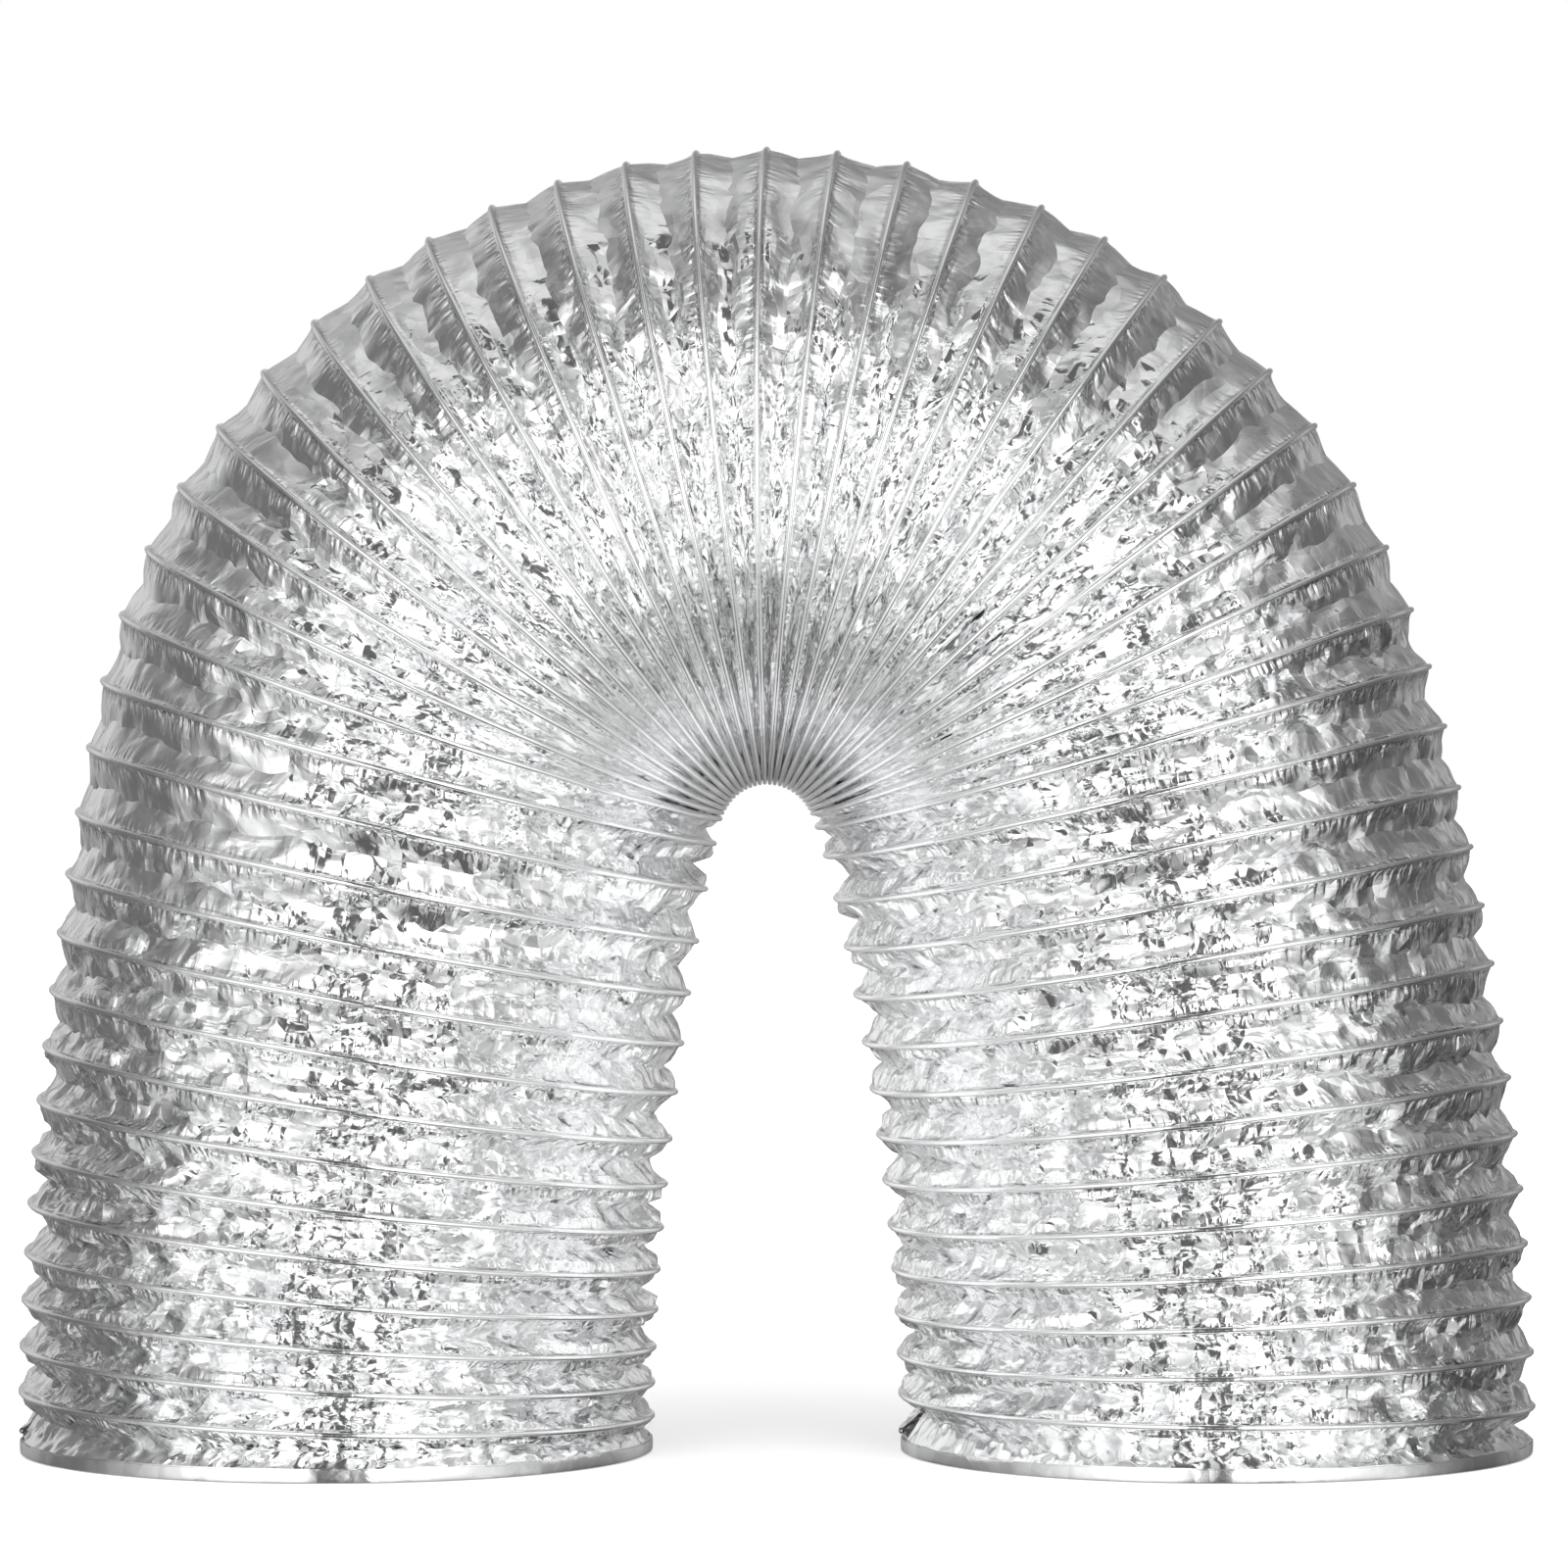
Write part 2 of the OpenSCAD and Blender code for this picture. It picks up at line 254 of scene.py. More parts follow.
def flank(foot_row, valley_row, room, seed, way):
    """Fills the rows between the wire and a valley."""
    foot, val = grid[:, foot_row], grid[:, valley_row]
    v = np.arange(1, NR)[None, :] / NR
    base = foot[:, None] * (1 - v[..., None]) + val[:, None] * v[..., None]
    down = unit(val - foot)
    out = unit(np.cross(way * T, down))          # along the strip, then across it
    nrm = unit(np.cross(down, out))
    nrm *= np.sign(np.sum(nrm * RAD, -1, keepdims=True))
    long = np.linalg.norm(val - foot, axis=1)
    s = arc[:, None] + 0 * v
    w = v * long[:, None]
    r = np.random.default_rng(seed)
    big = planes(s, w + 50, 20.0, seed + 1, 0.5 * way) * 0.17
    small = planes(s, w + 90, 10.0, seed + 3, -0.3 * way) * 0.16
    fine = r.normal(0, 0.004, s.shape)
    # short dents tucked in under the wire
    below = np.where(col / NC < TOP, way < 0, way > 0)[:, None]          # the flank that faces down
    dent = np.clip(folds(COLS + 1, 3, 6, (0.4, 1.0), (0.3, 1.2), seed + 5), 0, 1)[:, None]
    dent = dent * np.where(below, 1.0, 0.25) * np.clip(v / 0.2, 0, 1) * np.clip((0.8 - v) / 0.6, 0, 1)
    open_ = np.clip(room * 3, 0, 1)[:, None]
    belly = 0.35 * np.sin(np.pi * v) * wave(COLS + 1, 17, seed + 6)[:, None]
    ends = np.clip(v / 0.22, 0, 1) * np.clip((1 - v) / 0.4, 0, 1)
    h = (ends * (big + patch[:, None] * (small + fine)) + belly) * room[:, None] - dent * open_ * 0.8
    # the two sides of a pleat never pass through each other, on the outside or on the inside
    gap = (gap_up if way > 0 else gap_lo)[:, None]
    h = np.clip(h, -(0.2 + 0.36 * v * (1 - v) * gap), 0.24 * (1 - v) * gap)
    h = np.where(h < 0, h * (1 - 0.75 * v * np.clip((12.5 - gap) / 2, 0, 1)), h)     # no deep pockets in the valleys
    slide = r.uniform(-0.1, 0.1, s.shape) * ends * np.clip(room, 0.15, 1)[:, None]
    slide2 = r.uniform(-0.1, 0.1, s.shape) * ends * np.clip(room, 0.1, 1)[:, None]
    return base + h[..., None] * nrm[:, None] + slide[..., None] * unit(np.cross(nrm, down))[:, None] + slide2[..., None] * down[:, None]


up = flank(NR + BEAD - 1, ROWS - 1, room_up, 100, 1)
lo = flank(NR, 0, room_lo, 200, -1)
grid[:, NR + BEAD:ROWS - 1] = up
grid[:, NR - 1:0:-1] = lo

# how loose the foil is at each point: 1 crumpled, 0 pulled smooth
loose = np.zeros((COLS + 1, ROWS))
narrow = taut_v * np.clip(gap_v / 11 - 0.25, 0.12, 1)
fl, ce = np.concatenate([narrow, np.full(NC, 0.6)]), np.concatenate([np.full(NC, 0.6), narrow])
for i in range(ROWS):
    loose[:, i] = ce if i < NR else fl if i >= NR + BEAD else (fl + ce) / 2

# ------------------------------------------------------------------ strip to pieces
ids = (col[:, None] * ROWS + np.arange(ROWS)[None]).astype(np.int64)
ids[NC:, 0] = ids[:COLS + 1 - NC, ROWS - 1]
points = grid.reshape(-1, 3)

across = np.concatenate([-np.linspace(0.5, 0.0, NR + 1)[:-1] - 0.0, np.linspace(-0.05, 0.05, BEAD), np.linspace(0, 0.5, NR + 1)[1:]])
across = np.concatenate([np.linspace(-0.5, -0.05, NR + 1)[:-1], np.linspace(-0.05, 0.05, BEAD), np.linspace(0.05, 0.5, NR + 1)[1:]])
where = (col[:, None] / NC) + across[None]                     # place along the tube, in turns
strip_v = np.concatenate([np.arange(NR) * 1.08, NR * 1.08 + np.arange(BEAD) * 0.44, NR * 1.08 + 5 * 0.44 + np.arange(1, NR + 1) * 1.08])

# corners of each cell of the grid
ci, ri = np.meshgrid(np.arange(COLS), np.arange(ROWS - 1), indexing="ij")
ci, ri = ci.ravel(), ri.ravel()
flip = rng.random(len(ci)) < 0.5
quad_c = np.stack([ci, ci + 1, ci + 1, ci], 1)
quad_r = np.stack([ri, ri, ri + 1, ri + 1], 1)
pick = np.where(flip[:, None], [[0, 1, 2, 0, 2, 3]], [[0, 1, 3, 1, 2, 3]])
tri_c = np.take_along_axis(quad_c, pick, 1).reshape(-1, 3)
tri_r = np.take_along_axis(quad_r, pick, 1).reshape(-1, 3)
tri_cell = np.repeat(ci, 2)
tri_row = np.repeat(ri, 2)
cell_where = ((ci + 0.5) / NC + (across[ri] + across[ri + 1]) / 2)
tri_where = np.repeat(cell_where, 2)
BEAD_V = NR * 1.08 + 2.5 * 0.44                                 # middle of the wire in the strip map

MIDS = [(CUTS[b] + CUTS[b + 1]) / 2 for b in range(27)]


def make_mesh(name, co, tris, uv=None, strip=None, crumple=None):
    me = bpy.data.meshes.new(name)
    me.from_pydata((co * MM).tolist(), [], tris.tolist())
    if crumple is not None:
        me.attributes.new("crumple", "FLOAT", "POINT").data.foreach_set("value", crumple.astype(np.float32))
    if strip is not None:
        me.uv_layers.new(name="strip").uv.foreach_set("vector", strip.reshape(-1).astype(np.float32))
    if uv is not None:
        me.uv_layers.new(name="OFBake").uv.foreach_set("vector", uv.reshape(-1).astype(np.float32))
    me.update()
    ob = bpy.data.objects.new(name, me)
    bpy.context.scene.collection.objects.link(ob)
    return ob


def bend(ob):
    """Bakes the piece's placement into its mesh; it is not blended over its joint or attached to a body."""
    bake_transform(ob)


# ------------------------------------------------------------------ materials
def nodes_of(name):
    m = bpy.data.materials.new(name)
    m.use_nodes = True
    nt = m.node_tree
    return m, nt, nt.nodes["Principled BSDF"]


def node(nt, kind, x=0, y=0, **values):
    n = nt.nodes.new(kind)
    n.location = (x, y)
    for k, v in values.items():
        if k in n.inputs:
            n.inputs[k].default_value = v
        else:
            setattr(n, k, v)
    return n


def ramp(nt, source, stops):
    n = nt.nodes.new("ShaderNodeValToRGB")
    e = n.color_ramp.elements
    while len(e) < len(stops):
        e.new(0.5)
    for i, (p, c) in enumerate(stops):
        e[i].position = p
        e[i].color = (*c, 1) if len(c) == 3 else c
    nt.links.new(source, n.inputs[0])
    return n


def foil_material(name, dull=0.0):
    """Bright foil. The relief finer than the mesh is flat facets too: the height is the difference of two
    squared distances to random points, which is a plane in each facet and has a crease between facets."""
    m, nt, b = nodes_of(name)
    link = nt.links.new
    uv = node(nt, "ShaderNodeUVMap", -2000, 0, uv_map="strip")
    sep = node(nt, "ShaderNodeSeparateXYZ", -1800, 400)
    link(uv.outputs[0], sep.inputs[0])

    def math_(op, p, q=None, clamp=False):
        n = node(nt, "ShaderNodeMath", -900, 0, operation=op)
        n.use_clamp = clamp
        for i, v in enumerate((p, q)):
            if v is None:
                continue
            if isinstance(v, (int, float)):
                n.inputs[i].default_value = v
            else:
                link(v, n.inputs[i])
        return n.outputs[0]

    def facets(cell, stretch, turn, seed, amount):
        """Height in metres of flat facets about cell mm wide, drawn out across the strip by stretch."""
        squares = []
        for i in range(2):
            mp = node(nt, "ShaderNodeMapping", -1500, -300 * seed)
            mp.inputs["Location"].default_value = (seed * 13.7 + i * 57.3, seed * 7.9 + i * 31.1, 0)
            mp.inputs["Rotation"].default_value = (0, 0, turn)
            mp.inputs["Scale"].default_value = (1 / cell, 1 / (cell * stretch), 1)
            link(uv.outputs[0], mp.inputs[0])
            v = node(nt, "ShaderNodeTexVoronoi", -1200, -300 * seed, voronoi_dimensions="2D", feature="F1", distance="EUCLIDEAN")
            v.inputs["Scale"].default_value = 1.0
            v.inputs["Randomness"].default_value = 0.85
            link(mp.outputs[0], v.inputs["Vector"])
            squares.append(math_("MINIMUM", math_("POWER", v.outputs["Distance"], 2.0), 0.42))
        return math_("MULTIPLY", math_("SUBTRACT", squares[0], squares[1]), cell * MM * amount)

    cloud = node(nt, "ShaderNodeTexNoise", -1100, 300, Scale=0.11, Detail=3.0, Roughness=0.6)
    grain = node(nt, "ShaderNodeTexNoise", -1100, 100, Scale=0.85, Detail=4.0, Roughness=0.62)
    for n in (cloud, grain):
        link(uv.outputs[0], n.inputs["Vector"])
    tint = ramp(nt, cloud.outputs[0], [(0.3, (0.83, 0.835, 0.84)), (0.7, (0.93, 0.932, 0.936))])
    link(tint.outputs[0], b.inputs["Base Color"])
    rough = node(nt, "ShaderNodeMapRange", -700, 100)
    rough.inputs["From Min"].default_value, rough.inputs["From Max"].default_value = 0.3, 0.7
    rough.inputs["To Min"].default_value, rough.inputs["To Max"].default_value = 0.07 + dull, 0.15 + dull
    link(grain.outputs[0], rough.inputs[0])
    link(rough.outputs[0], b.inputs["Roughness"])
    # narrow gathers that start under the wire
    from_wire = math_("SUBTRACT", sep.outputs[1], BEAD_V)
    near = math_("SUBTRACT", 1.0, math_("MULTIPLY", math_("SUBTRACT", math_("ABSOLUTE", from_wire), 1.2), 0.24, True), True)
    past_top = math_("SUBTRACT", math_("MULTIPLY", math_("GREATER_THAN", sep.outputs[0], TOP * 2 * math.pi * R), 2.0), 1.0)
    down = math_("GREATER_THAN", math_("MULTIPLY", from_wire, past_top), 0.0)      # 1 on the flank that faces down
    gather_ = math_("MULTIPLY", facets(1.9, 3.6, 0.3, 4, 0.30), math_("MULTIPLY", near, math_("ADD", math_("MULTIPLY", down, 0.55), 0.45)))
    loose_ = node(nt, "ShaderNodeAttribute", -1500, 700, attribute_name="crumple")
    much = math_("ADD", math_("MULTIPLY", loose_.outputs["Fac"], 0.85), 0.15)
    h = math_("ADD", facets(10.0, 0.9, 0.3, 1, 0.13), facets(4.5, 1.0, -0.5, 2, 0.06))
    h = math_("ADD", math_("MULTIPLY", h, much), gather_)
    # none of it on the wire itself, where the foil is stretched tight
    off = math_("MULTIPLY", math_("SUBTRACT", math_("ABSOLUTE", math_("SUBTRACT", sep.outputs[1], BEAD_V)), 0.9), 1.6, True)
    h = math_("MULTIPLY", h, math_("ADD", math_("MULTIPLY", off, 0.92), 0.08))
    bump = node(nt, "ShaderNodeBump", -500, -200, Strength=1.0, Distance=1.0)
    link(h, bump.inputs["Height"])
    link(bump.outputs[0], b.inputs["Normal"])
    b.inputs["Metallic"].default_value = 1.0
    return m


def wire_material():
    m, nt, b = nodes_of("spring_steel")
    tex = node(nt, "ShaderNodeTexCoord", -900, 0)
    n = node(nt, "ShaderNodeTexNoise", -700, 0, Scale=900.0, Detail=2.0)
    nt.links.new(tex.outputs["Object"], n.inputs["Vector"])
    tint = ramp(nt, n.outputs[0], [(0.3, (0.36, 0.37, 0.39)), (0.7, (0.52, 0.53, 0.55))])
    nt.links.new(tint.outputs[0], b.inputs["Base Color"])
    r = node(nt, "ShaderNodeMapRange", -500, -100)
    r.inputs["To Min"].default_value, r.inputs["To Max"].default_value = 0.28, 0.48
    nt.links.new(n.outputs[0], r.inputs[0])
    nt.links.new(r.outputs[0], b.inputs["Roughness"])
    b.inputs["Metallic"].default_value = 0.95
    return m


foil_mat = foil_material("crumpled_foil")
hem_mat = foil_material("folded_foil_edge", 0.06)
wire_mat = wire_material()

# ------------------------------------------------------------------ foil pieces
bounds_q = [-9.0] + MIDS + [99.0]
LEN = 96                                                       # columns in one row of the bake layout


def foil_piece(k):
    """Piece k of 28: 0 rides on section_01, k lies over joint k without bending with it, 27 rides on section_27."""
    take = (tri_where >= bounds_q[k]) & (tri_where < bounds_q[k + 1])
    tc, tr, cell = tri_c[take], tri_r[take], tri_cell[take]
    vid = ids[tc, tr]
    used, local = np.unique(vid, return_inverse=True)
    local = local.reshape(-1, 3)
    first = cell.min()
    lane = (cell - first) // LEN
    lanes = int(lane.max()) + 1
    x = (tc - first - (lane * LEN)[:, None]) / LEN
    y = (lane[:, None] + 0.05 + 0.9 * strip_v[tr] / strip_v[-1]) / lanes
    uv = np.stack([0.004 + 0.992 * x, y], -1)
    strip = np.stack([tc / NC * 2 * np.pi * R, strip_v[tr] + 0 * tc], -1)
    ob = make_mesh(f"foil_skin_{k + 1:02d}", points[used], local, uv, strip, loose.reshape(-1)[used])
    q = where.reshape(-1)[used]
    # a valley that two turns share is listed with the lower one
    return ob, q, used % ROWS


skins = []
for k in range(28):
    ob, q, row = foil_piece(k)
    ob.data.materials.append(foil_mat)
    ob.data.shade_smooth()
    ob.data.set_sharp_from_angle(angle=math.radians(8))
    # the foil stays round over the wire
    ends_ = np.zeros(len(ob.data.edges) * 2, np.int32)
    ob.data.edges.foreach_get("vertices", ends_)
    over_wire = ((row >= NR) & (row < NR + BEAD))[ends_.reshape(-1, 2)].all(1)
    mark = np.zeros(len(ob.data.edges), bool)
    ob.data.attributes["sharp_edge"].data.foreach_get("value", mark)
    ob.data.attributes["sharp_edge"].data.foreach_set("value", mark & ~over_wire)
    if k == 0:
        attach(ob, "section_01")
    elif k == 27:
        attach(ob, "section_27")
    else:
        bend(ob)
    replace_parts(ob, f"foil_section_{min(k + 1, 27):02d}")
    skins.append(ob)

# ------------------------------------------------------------------ end panels between the last folds and the hems
def end_panel(name, t, top, foot, body, flipped, seed):
    n = len(t)
    rows = 6
    edge = hem_edge(t, foot, 77.32, 2.2)
    g = np.zeros((n, rows + 1, 3))
    r = np.random.default_rng(seed)
    for i in range(rows + 1):
        g[:, i] = lerp(top, edge, i / rows)
    out = at(t)[2]
    for i in range(1, rows):
        h = planes(t[:, None] * 491.0, np.full((n, 1), i * 1.2 + 30), 3.2, seed)[:, 0] * 0.3 + r.normal(0, 0.05, n)
        long = np.linalg.norm(top - edge, axis=1)
        g[:, i] += (h * np.clip(long / 6, 0.1, 1))[:, None] * out
    g[:, :, 2] = np.maximum(g[:, :, 2], 0.6)
    idx = (np.arange(n)[:, None] * (rows + 1) + np.arange(rows + 1)[None])
    a, b_, c, d = idx[:-1, :-1].ravel(), idx[1:, :-1].ravel(), idx[1:, 1:].ravel(), idx[:-1, 1:].ravel()
    tris = np.concatenate([np.stack([a, b_, c], 1), np.stack([a, c, d], 1)])
    uvp = np.stack(np.meshgrid(np.linspace(0.01, 0.99, n), np.linspace(0.05, 0.95, rows + 1), indexing="ij"), -1).reshape(-1, 2)
    st = np.stack(np.meshgrid(t * 491.0, np.arange(rows + 1) * 1.1 + 400, indexing="ij"), -1).reshape(-1, 2)
    ob = make_mesh(name, g.reshape(-1, 3), tris, uvp[tris], st[tris])
    ob.data.materials.append(foil_mat)
    ob.data.shade_smooth()
    ob.data.set_sharp_from_angle(angle=math.radians(24))
    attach(ob, body)
    return ob


end_panel("left_end_panel", tau_v[:NC + 1], low_v, FOOT_L, "section_01", False, 31)
end_panel("right_end_panel", tau_v[COLS - NC:], high_v, FOOT_R, "section_27", True, 32)


# ------------------------------------------------------------------ hems
def hem(name, foot, body, seed):
    """The cut edge folded back on itself: a narrow band with a rounded lower edge and a free upper edge outside."""
    n = 720
    th = np.arange(n) / n * 2 * np.pi
    r = np.random.default_rng(seed)
    section = np.array([[77.02, 3.3], [77.0, 2.4], [77.0, 1.4], [77.02, 0.5], [77.1, 0.12], [77.26, 0.0], [77.46, 0.1], [77.56, 0.5],
                        [77.6, 1.3], [77.62, 2.2], [77.58, 2.95], [77.42, 3.0], [77.38, 2.5], [77.3, 2.4], [77.24, 3.3]])
    bulge = np.interp(np.arange(n), np.cumsum(r.integers(5, 16, 90)) % 100000, r.uniform(-0.12, 0.14, 90), period=n)
    lift = np.interp(np.arange(n), np.sort(r.integers(0, n, 80)), r.uniform(-0.22, 0.2, 80), period=n)
    m = len(section)
    g = np.zeros((n, m, 3))
    for i, (rad, z) in enumerate(section):
        out = 1.0 if 6 <= i <= 12 else 0.25
        rr = rad + out * bulge
        zz = z + (lift if z > 2 else 0)
        g[:, i] = np.stack([foot + rr * np.cos(th), rr * np.sin(th), np.clip(zz + 0 * th, 0, None)], -1)
    idx = np.arange(n)[:, None] * m + np.arange(m)[None]
    nx, ny = np.roll(idx, -1, 0), np.roll(idx, -1, 1)
    nxy = np.roll(ny, -1, 0)
    a, b_, c, d = idx.ravel(), nx.ravel(), nxy.ravel(), ny.ravel()
    tris = np.concatenate([np.stack([a, b_, c], 1), np.stack([a, c, d], 1)])
    ii, jj = np.meshgrid(np.arange(n), np.arange(m), indexing="ij")
    ii, jj = ii.ravel(), jj.ravel()
    cu = np.stack([ii, ii + 1, ii + 1, ii + 1, ii + 1], 1)
    u = np.concatenate([np.stack([ii, ii + 1, ii + 1], 1), np.stack([ii, ii + 1, ii], 1)]) / n
    v = np.concatenate([np.stack([jj, jj, jj + 1], 1), np.stack([jj, jj + 1, jj + 1], 1)]) / m
    uv = np.stack([0.005 + 0.99 * u, 0.02 + 0.96 * v], -1)
    strip = np.stack([u * 484.0, v * 12.0 + 700], -1)
    ob = make_mesh(name, g.reshape(-1, 3), tris, uv, strip)
    ob.data.materials.append(hem_mat)
    ob.data.shade_smooth()
    ob.data.set_sharp_from_angle(angle=math.radians(40))
    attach(ob, body)
    return ob


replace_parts(hem("left_folded_hem", FOOT_L, "section_01", 41), "left_end_hem")
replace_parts(hem("right_folded_hem", FOOT_R, "section_27", 42), "right_end_hem")

# ------------------------------------------------------------------ wire pieces
WIRE_R, SIDES, PER = 0.45, 8, 48


def wire_piece(k):
    lo = 0.0 if k == 0 else MIDS[k - 1]
    hi = TURNS if k == 27 else MIDS[k]
    n = max(3, int(round((hi - lo) * PER)) + 1)
    t = np.linspace(lo, hi, n)
    c, a, r = at(t)
    ang = np.arange(SIDES) / SIDES * 2 * np.pi
    g = (c + (R - 0.6) * r)[:, None] + WIRE_R * (np.cos(ang)[None, :, None] * r[:, None] + np.sin(ang)[None, :, None] * a[:, None])
    idx = np.arange(n)[:, None] * SIDES + np.arange(SIDES)[None]
    nxt = np.roll(idx, -1, 1)
    a_, b_, c_, d_ = idx[:-1].ravel(), idx[1:].ravel(), nxt[1:].ravel(), nxt[:-1].ravel()
    tris = [np.stack([a_, c_, b_], 1), np.stack([a_, d_, c_], 1)]
    co = g.reshape(-1, 3)
    q = np.repeat(t, SIDES)
    if k == 0:
        co, q = np.concatenate([co, g[0].mean(0)[None]]), np.concatenate([q, [lo]])
        tris.append(np.stack([idx[0], np.roll(idx[0], -1), np.full(SIDES, len(co) - 1)], 1))
    if k == 27:
        co, q = np.concatenate([co, g[-1].mean(0)[None]]), np.concatenate([q, [hi]])
        tris.append(np.stack([np.roll(idx[-1], -1), idx[-1], np.full(SIDES, len(co) - 1)], 1))
    ob = make_mesh(f"wire_coil_{k + 1:02d}", co, np.concatenate(tris))
    ob.data.materials.append(wire_mat)
    ob.data.shade_smooth()
    if k == 0:
        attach(ob, "section_01")
    elif k == 27:
        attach(ob, "section_27")
    else:
        bend(ob)
    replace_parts(ob, f"wire_section_{min(k + 1, 27):02d}")


for k in range(28):
    wire_piece(k)

# ------------------------------------------------------------------ stage, light, camera
scene = bpy.context.scene
scene.view_settings.view_transform = "Standard"
scene.view_settings.look = "None"
scene.view_settings.exposure = 0.0

world = bpy.data.worlds.new("studio")
scene.world = world
world.use_nodes = True
wt = world.node_tree
wt.nodes.clear()
out = node(wt, "ShaderNodeOutputWorld", 900, 0)
tc = node(wt, "ShaderNodeTexCoord", -1200, 0)
sep = node(wt, "ShaderNodeSeparateXYZ", -1000, 0)
wt.links.new(tc.outputs["Generated"], sep.inputs[0])


def calc(op, a, b):
    n = node(wt, "ShaderNodeMath", 0, 0, operation=op)
    for i, v in enumerate((a, b)):
        if isinstance(v, (int, float)):
            n.inputs[i].default_value = v
        else:
            wt.links.new(v, n.inputs[i])
    return n.outputs[0]


x_, y_, z_ = sep.outputs


# soft lamps and dark screens round the duct: azimuth from the camera's side (+ to the right), height, width, strength
LAMPS = [
    (24, 6, 33, 1.30),          # large white screen, right of the camera
    (-38, 30, 26, 0.62),        # large white screen, left of the camera, and the table in front of it
    (-42, -20, 30, 0.72),
    (23, 43, 11, 0.35),         # lamps above and to the right
    (35, 64, 13, 0.33),
    (68, -18, 12, 0.27),
    (78, -54, 12, 0.58),        # pale table at the sides
    (-99, -49, 12, 0.50),
    (-149, 13, 18, 0.55),       # lamps behind, left, right, above and below
    (143, 8, 13, 0.38),
    (173, 69, 23, 0.68),
    (163, -43, 26, 0.18),
    (180, 3, 7, 0.40),
    (180, 0, 70, 0.15),         # the pale room behind
    (117, -38, 16, -0.18),
]
light = 0.04
for az, el, width, strength in LAMPS:
    az, el = math.radians(az), math.radians(el)
    to = (math.sin(az) * math.cos(el), -math.cos(az) * math.cos(el), math.sin(el))
    dot = calc("ADD", calc("ADD", calc("MULTIPLY", x_, to[0]), calc("MULTIPLY", y_, to[1])), calc("MULTIPLY", z_, to[2]))
    glow = calc("EXPONENT", calc("DIVIDE", calc("SUBTRACT", dot, 1.0), math.radians(width) ** 2), 0)
    light = calc("ADD", light, calc("MULTIPLY", glow, strength))
light = calc("ADD", calc("MULTIPLY", calc("POWER", calc("MAXIMUM", light, 0.02), 1.6), 1.0), 0.04)   # hard studio contrast
bg = node(wt, "ShaderNodeBackground", 400, 0)
bg.inputs["Color"].default_value = (1, 1, 1, 1)
wt.links.new(light, bg.inputs["Strength"])
white = node(wt, "ShaderNodeBackground", 400, -200)
white.inputs["Color"].default_value = (1, 1, 1, 1)
white.inputs["Strength"].default_value = 1.0
path = node(wt, "ShaderNodeLightPath", 300, 300)
mix = node(wt, "ShaderNodeMixShader", 700, 0)
wt.links.new(path.outputs["Is Camera Ray"], mix.inputs[0])
wt.links.new(bg.outputs[0], mix.inputs[1])
wt.links.new(white.outputs[0], mix.inputs[2])
wt.links.new(mix.outputs[0], out.inputs[0])

# pale floor: a large disc that fades to white far away
me = bpy.data.meshes.new("floor")
n = 96
ring = [(6 * math.cos(i / n * 2 * math.pi), 6 * math.sin(i / n * 2 * math.pi), -0.0002) for i in range(n)]
me.from_pydata(ring, [], [list(range(n))])
floor = bpy.data.objects.new("floor", me)
scene.collection.objects.link(floor)
fm = bpy.data.materials.new("pale_floor")
fm.use_nodes = True
ft = fm.node_tree
fb = ft.nodes["Principled BSDF"]
fb.inputs["Base Color"].default_value = (0.9, 0.9, 0.9, 1)
fb.inputs["Roughness"].default_value = 0.9
fb.inputs["Specular IOR Level"].default_value = 0.1
# the paper glows to pure white away from the duct, like an overexposed sweep
ftc = node(ft, "ShaderNodeTexCoord", -900, -300)
flen = node(ft, "ShaderNodeVectorMath", -700, -300, operation="LENGTH")
ft.links.new(ftc.outputs["Object"], flen.inputs[0])
fmap = node(ft, "ShaderNodeMapRange", -500, -300, interpolation_type="SMOOTHSTEP")
fmap.inputs["From Min"].default_value, fmap.inputs["From Max"].default_value = 0.15, 0.75
fmap.inputs["To Min"].default_value, fmap.inputs["To Max"].default_value = 0.3, 0.9
ft.links.new(flen.outputs["Value"], fmap.inputs["Value"])
ft.links.new(fmap.outputs[0], fb.inputs["Emission Strength"])
fb.inputs["Emission Color"].default_value = (1, 1, 1, 1)
me.materials.append(fm)
floor.visible_glossy = False


def softbox(name, place, aim, size, power):
    l = bpy.data.lights.new(name, "AREA")
    l.shape = "RECTANGLE"
    l.size, l.size_y = size
    l.energy = power
    o = bpy.data.objects.new(name, l)
    o.location = place
    o.rotation_euler = (Vector(aim) - Vector(place)).to_track_quat("-Z", "Y").to_euler()
    scene.collection.objects.link(o)
    return o


key = softbox("key_left", (-0.9, -1.5, 1.2), (0, 0, 0.15), (1.2, 1.2), 10)
fill = softbox("fill_right", (0.9, -1.5, 1.2), (0, 0, 0.15), (1.2, 1.2), 8)
top = softbox("top", (0, 0.1, 1.9), (0, 0, 0.1), (1.6, 1.2), 14)
for l in (key, fill, top):
    l.visible_glossy = False


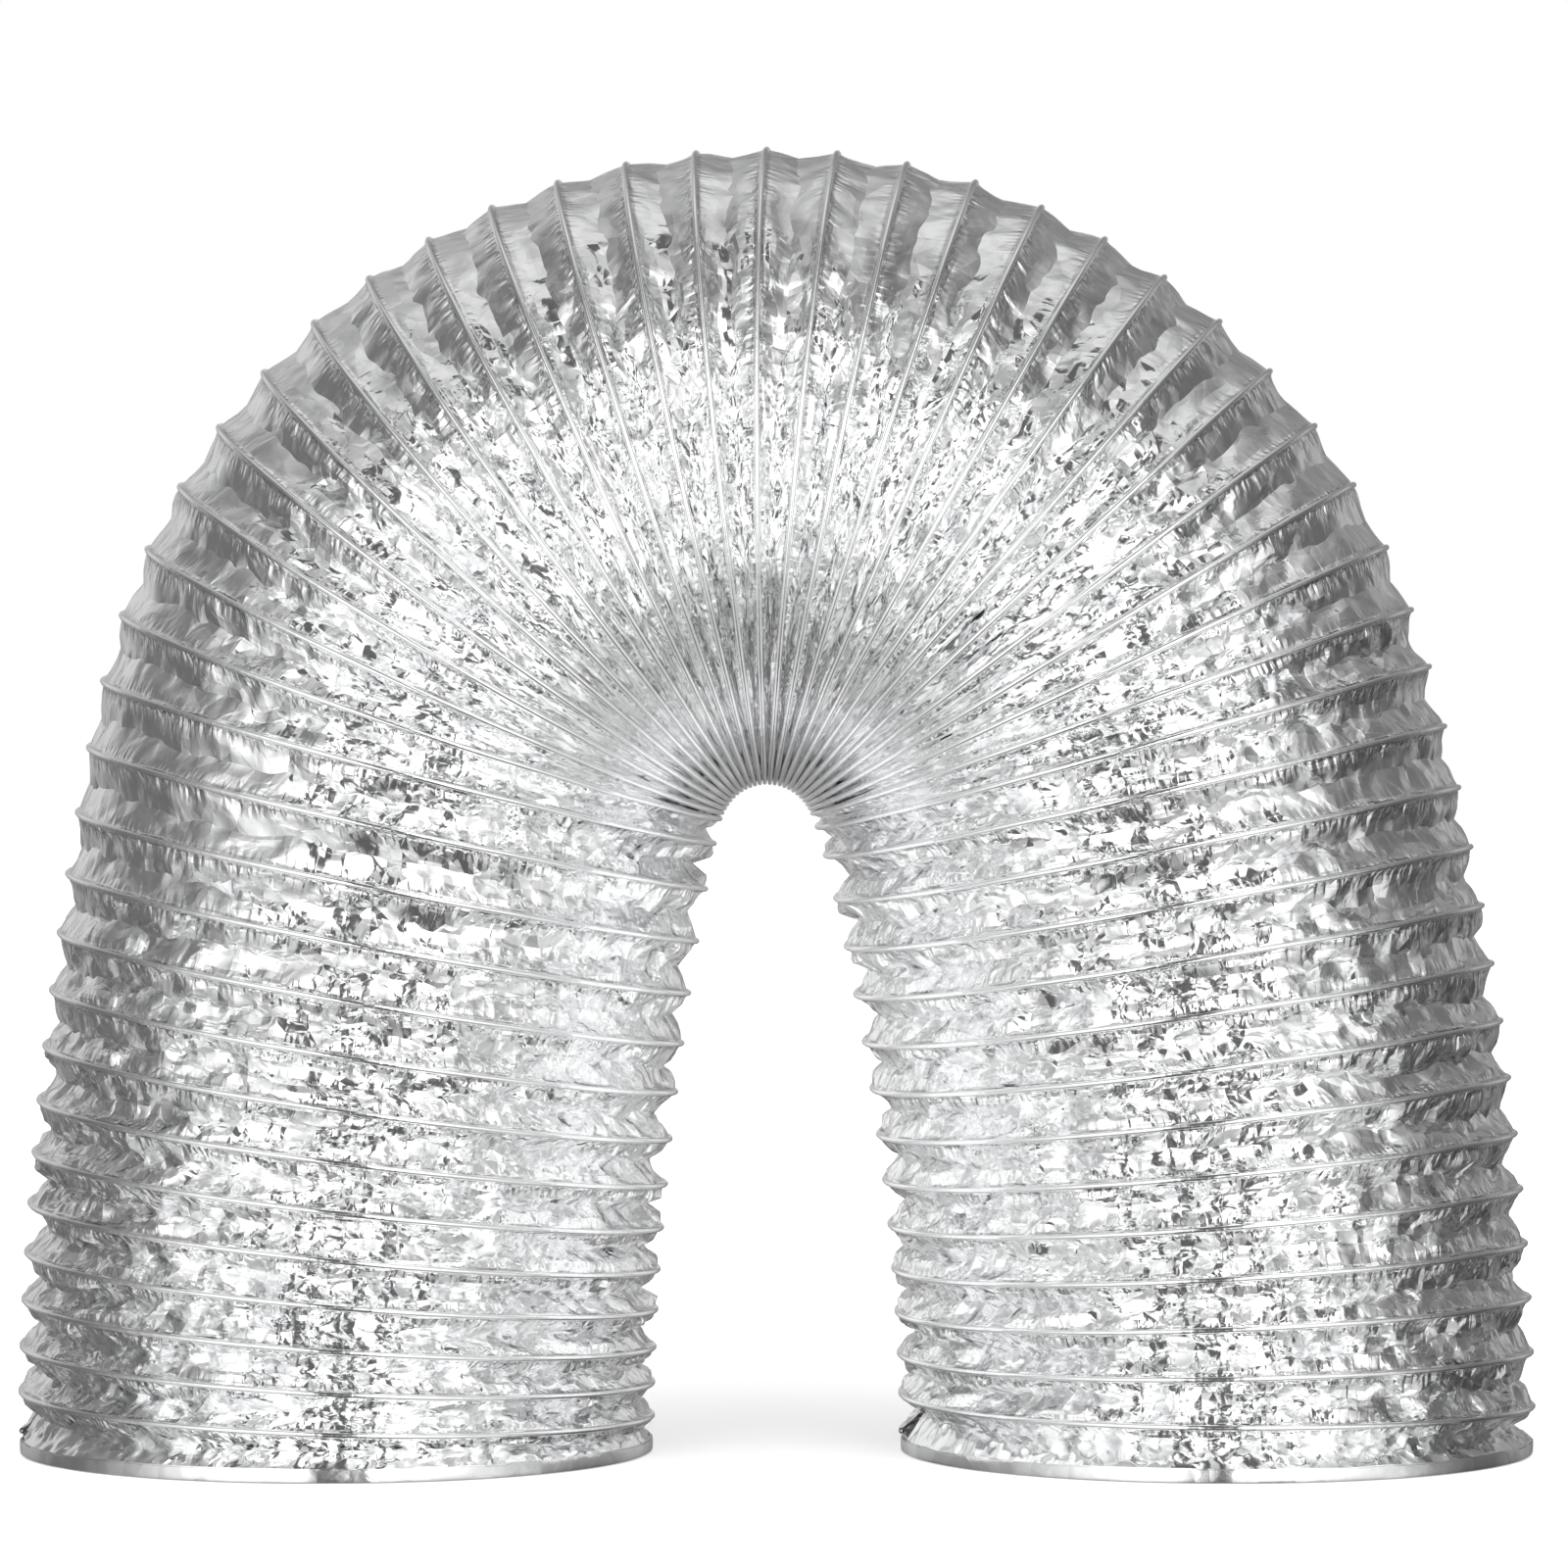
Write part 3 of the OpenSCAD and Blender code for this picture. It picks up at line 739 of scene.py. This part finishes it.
def veil(name, co, faces, shade, strength, over):
    """A sheet that only the foil's reflections see. shade makes 0..1 from its own coordinates.
    over True: it covers what is behind it by that much. False: it only adds its glow."""
    me = bpy.data.meshes.new(name)
    me.from_pydata(co, [], faces)
    ob = bpy.data.objects.new(name, me)
    scene.collection.objects.link(ob)
    m = bpy.data.materials.new(name)
    m.use_nodes = True
    nt = m.node_tree
    nt.nodes.remove(nt.nodes["Principled BSDF"])
    tc = node(nt, "ShaderNodeTexCoord", -900, 0)
    xyz = node(nt, "ShaderNodeSeparateXYZ", -700, 0)
    nt.links.new(tc.outputs["Object"], xyz.inputs[0])
    fac = None
    for i, (mid, start, end) in shade.items():
        off = node(nt, "ShaderNodeMath", -500, -200 * i, operation="SUBTRACT")
        off.inputs[1].default_value = mid
        nt.links.new(xyz.outputs[i], off.inputs[0])
        away = node(nt, "ShaderNodeMath", -350, -200 * i, operation="ABSOLUTE")
        nt.links.new(off.outputs[0], away.inputs[0])
        fade = node(nt, "ShaderNodeMapRange", -200, -200 * i, interpolation_type="SMOOTHSTEP")
        fade.inputs["From Min"].default_value, fade.inputs["From Max"].default_value = start, end
        fade.inputs["To Min"].default_value, fade.inputs["To Max"].default_value = 1.0, 0.0
        nt.links.new(away.outputs[0], fade.inputs["Value"])
        if fac is None:
            fac = fade.outputs[0]
        else:
            both = node(nt, "ShaderNodeMath", 0, 0, operation="MULTIPLY")
            nt.links.new(fac, both.inputs[0])
            nt.links.new(fade.outputs[0], both.inputs[1])
            fac = both.outputs[0]
    clear = node(nt, "ShaderNodeBsdfTransparent", 200, 100)
    glow = node(nt, "ShaderNodeEmission", 200, -100)
    glow.inputs["Strength"].default_value = strength
    mixed = node(nt, "ShaderNodeMixShader", 400, 0)
    nt.links.new(fac, mixed.inputs[0])
    nt.links.new(clear.outputs[0], mixed.inputs[1])
    if over:
        nt.links.new(glow.outputs[0], mixed.inputs[2])
    else:
        added = node(nt, "ShaderNodeAddShader", 300, -200)
        nt.links.new(clear.outputs[0], added.inputs[0])
        nt.links.new(glow.outputs[0], added.inputs[1])
        nt.links.new(added.outputs[0], mixed.inputs[2])
    nt.links.new(mixed.outputs[0], nt.nodes["Material Output"].inputs[0])
    me.materials.append(m)
    ob.visible_camera = ob.visible_diffuse = ob.visible_shadow = ob.visible_transmission = False


# the dark gap between the two screens, with the camera in it, from under the table to over the top
arc_n = 48
co = []
for i in range(arc_n + 1):
    el = math.radians(-88 + 176 * i / arc_n)
    co += [(x, -3.0 * math.cos(el), 0.1 + 3.0 * math.sin(el)) for x in (-0.6, 0.6)]
veil("camera_gap", co, [[2 * i, 2 * i + 1, 2 * i + 3, 2 * i + 2] for i in range(arc_n)], {0: (0.0, 0.22, 0.58)}, 0.12, True)
# a soft glow in the opening, which lifts the inner sides of the legs
veil("opening_glow", [(0, -0.16, -0.05), (0, 0.16, -0.05), (0, 0.16, 0.2), (0, -0.16, 0.2)], [[0, 1, 2, 3]],
     {1: (0.0, 0.02, 0.15), 2: (0.075, 0.02, 0.12)}, 0.36, False)

cam = bpy.data.cameras.new("camera")
cam_ob = bpy.data.objects.new("camera", cam)
scene.collection.objects.link(cam_ob)
scene.camera = cam_ob
DIST, EYE = 2.0, 0.21
aim = Vector((0.0018, 0, 0.1636))
cam_ob.location = (aim.x, -DIST, EYE)
cam_ob.rotation_euler = (aim - cam_ob.location).to_track_quat("-Z", "Y").to_euler()
cam.sensor_width = 36
cam.lens = 36 * (aim - cam_ob.location).length / (1600 * 0.0002406)
cam.clip_start, cam.clip_end = 0.05, 50
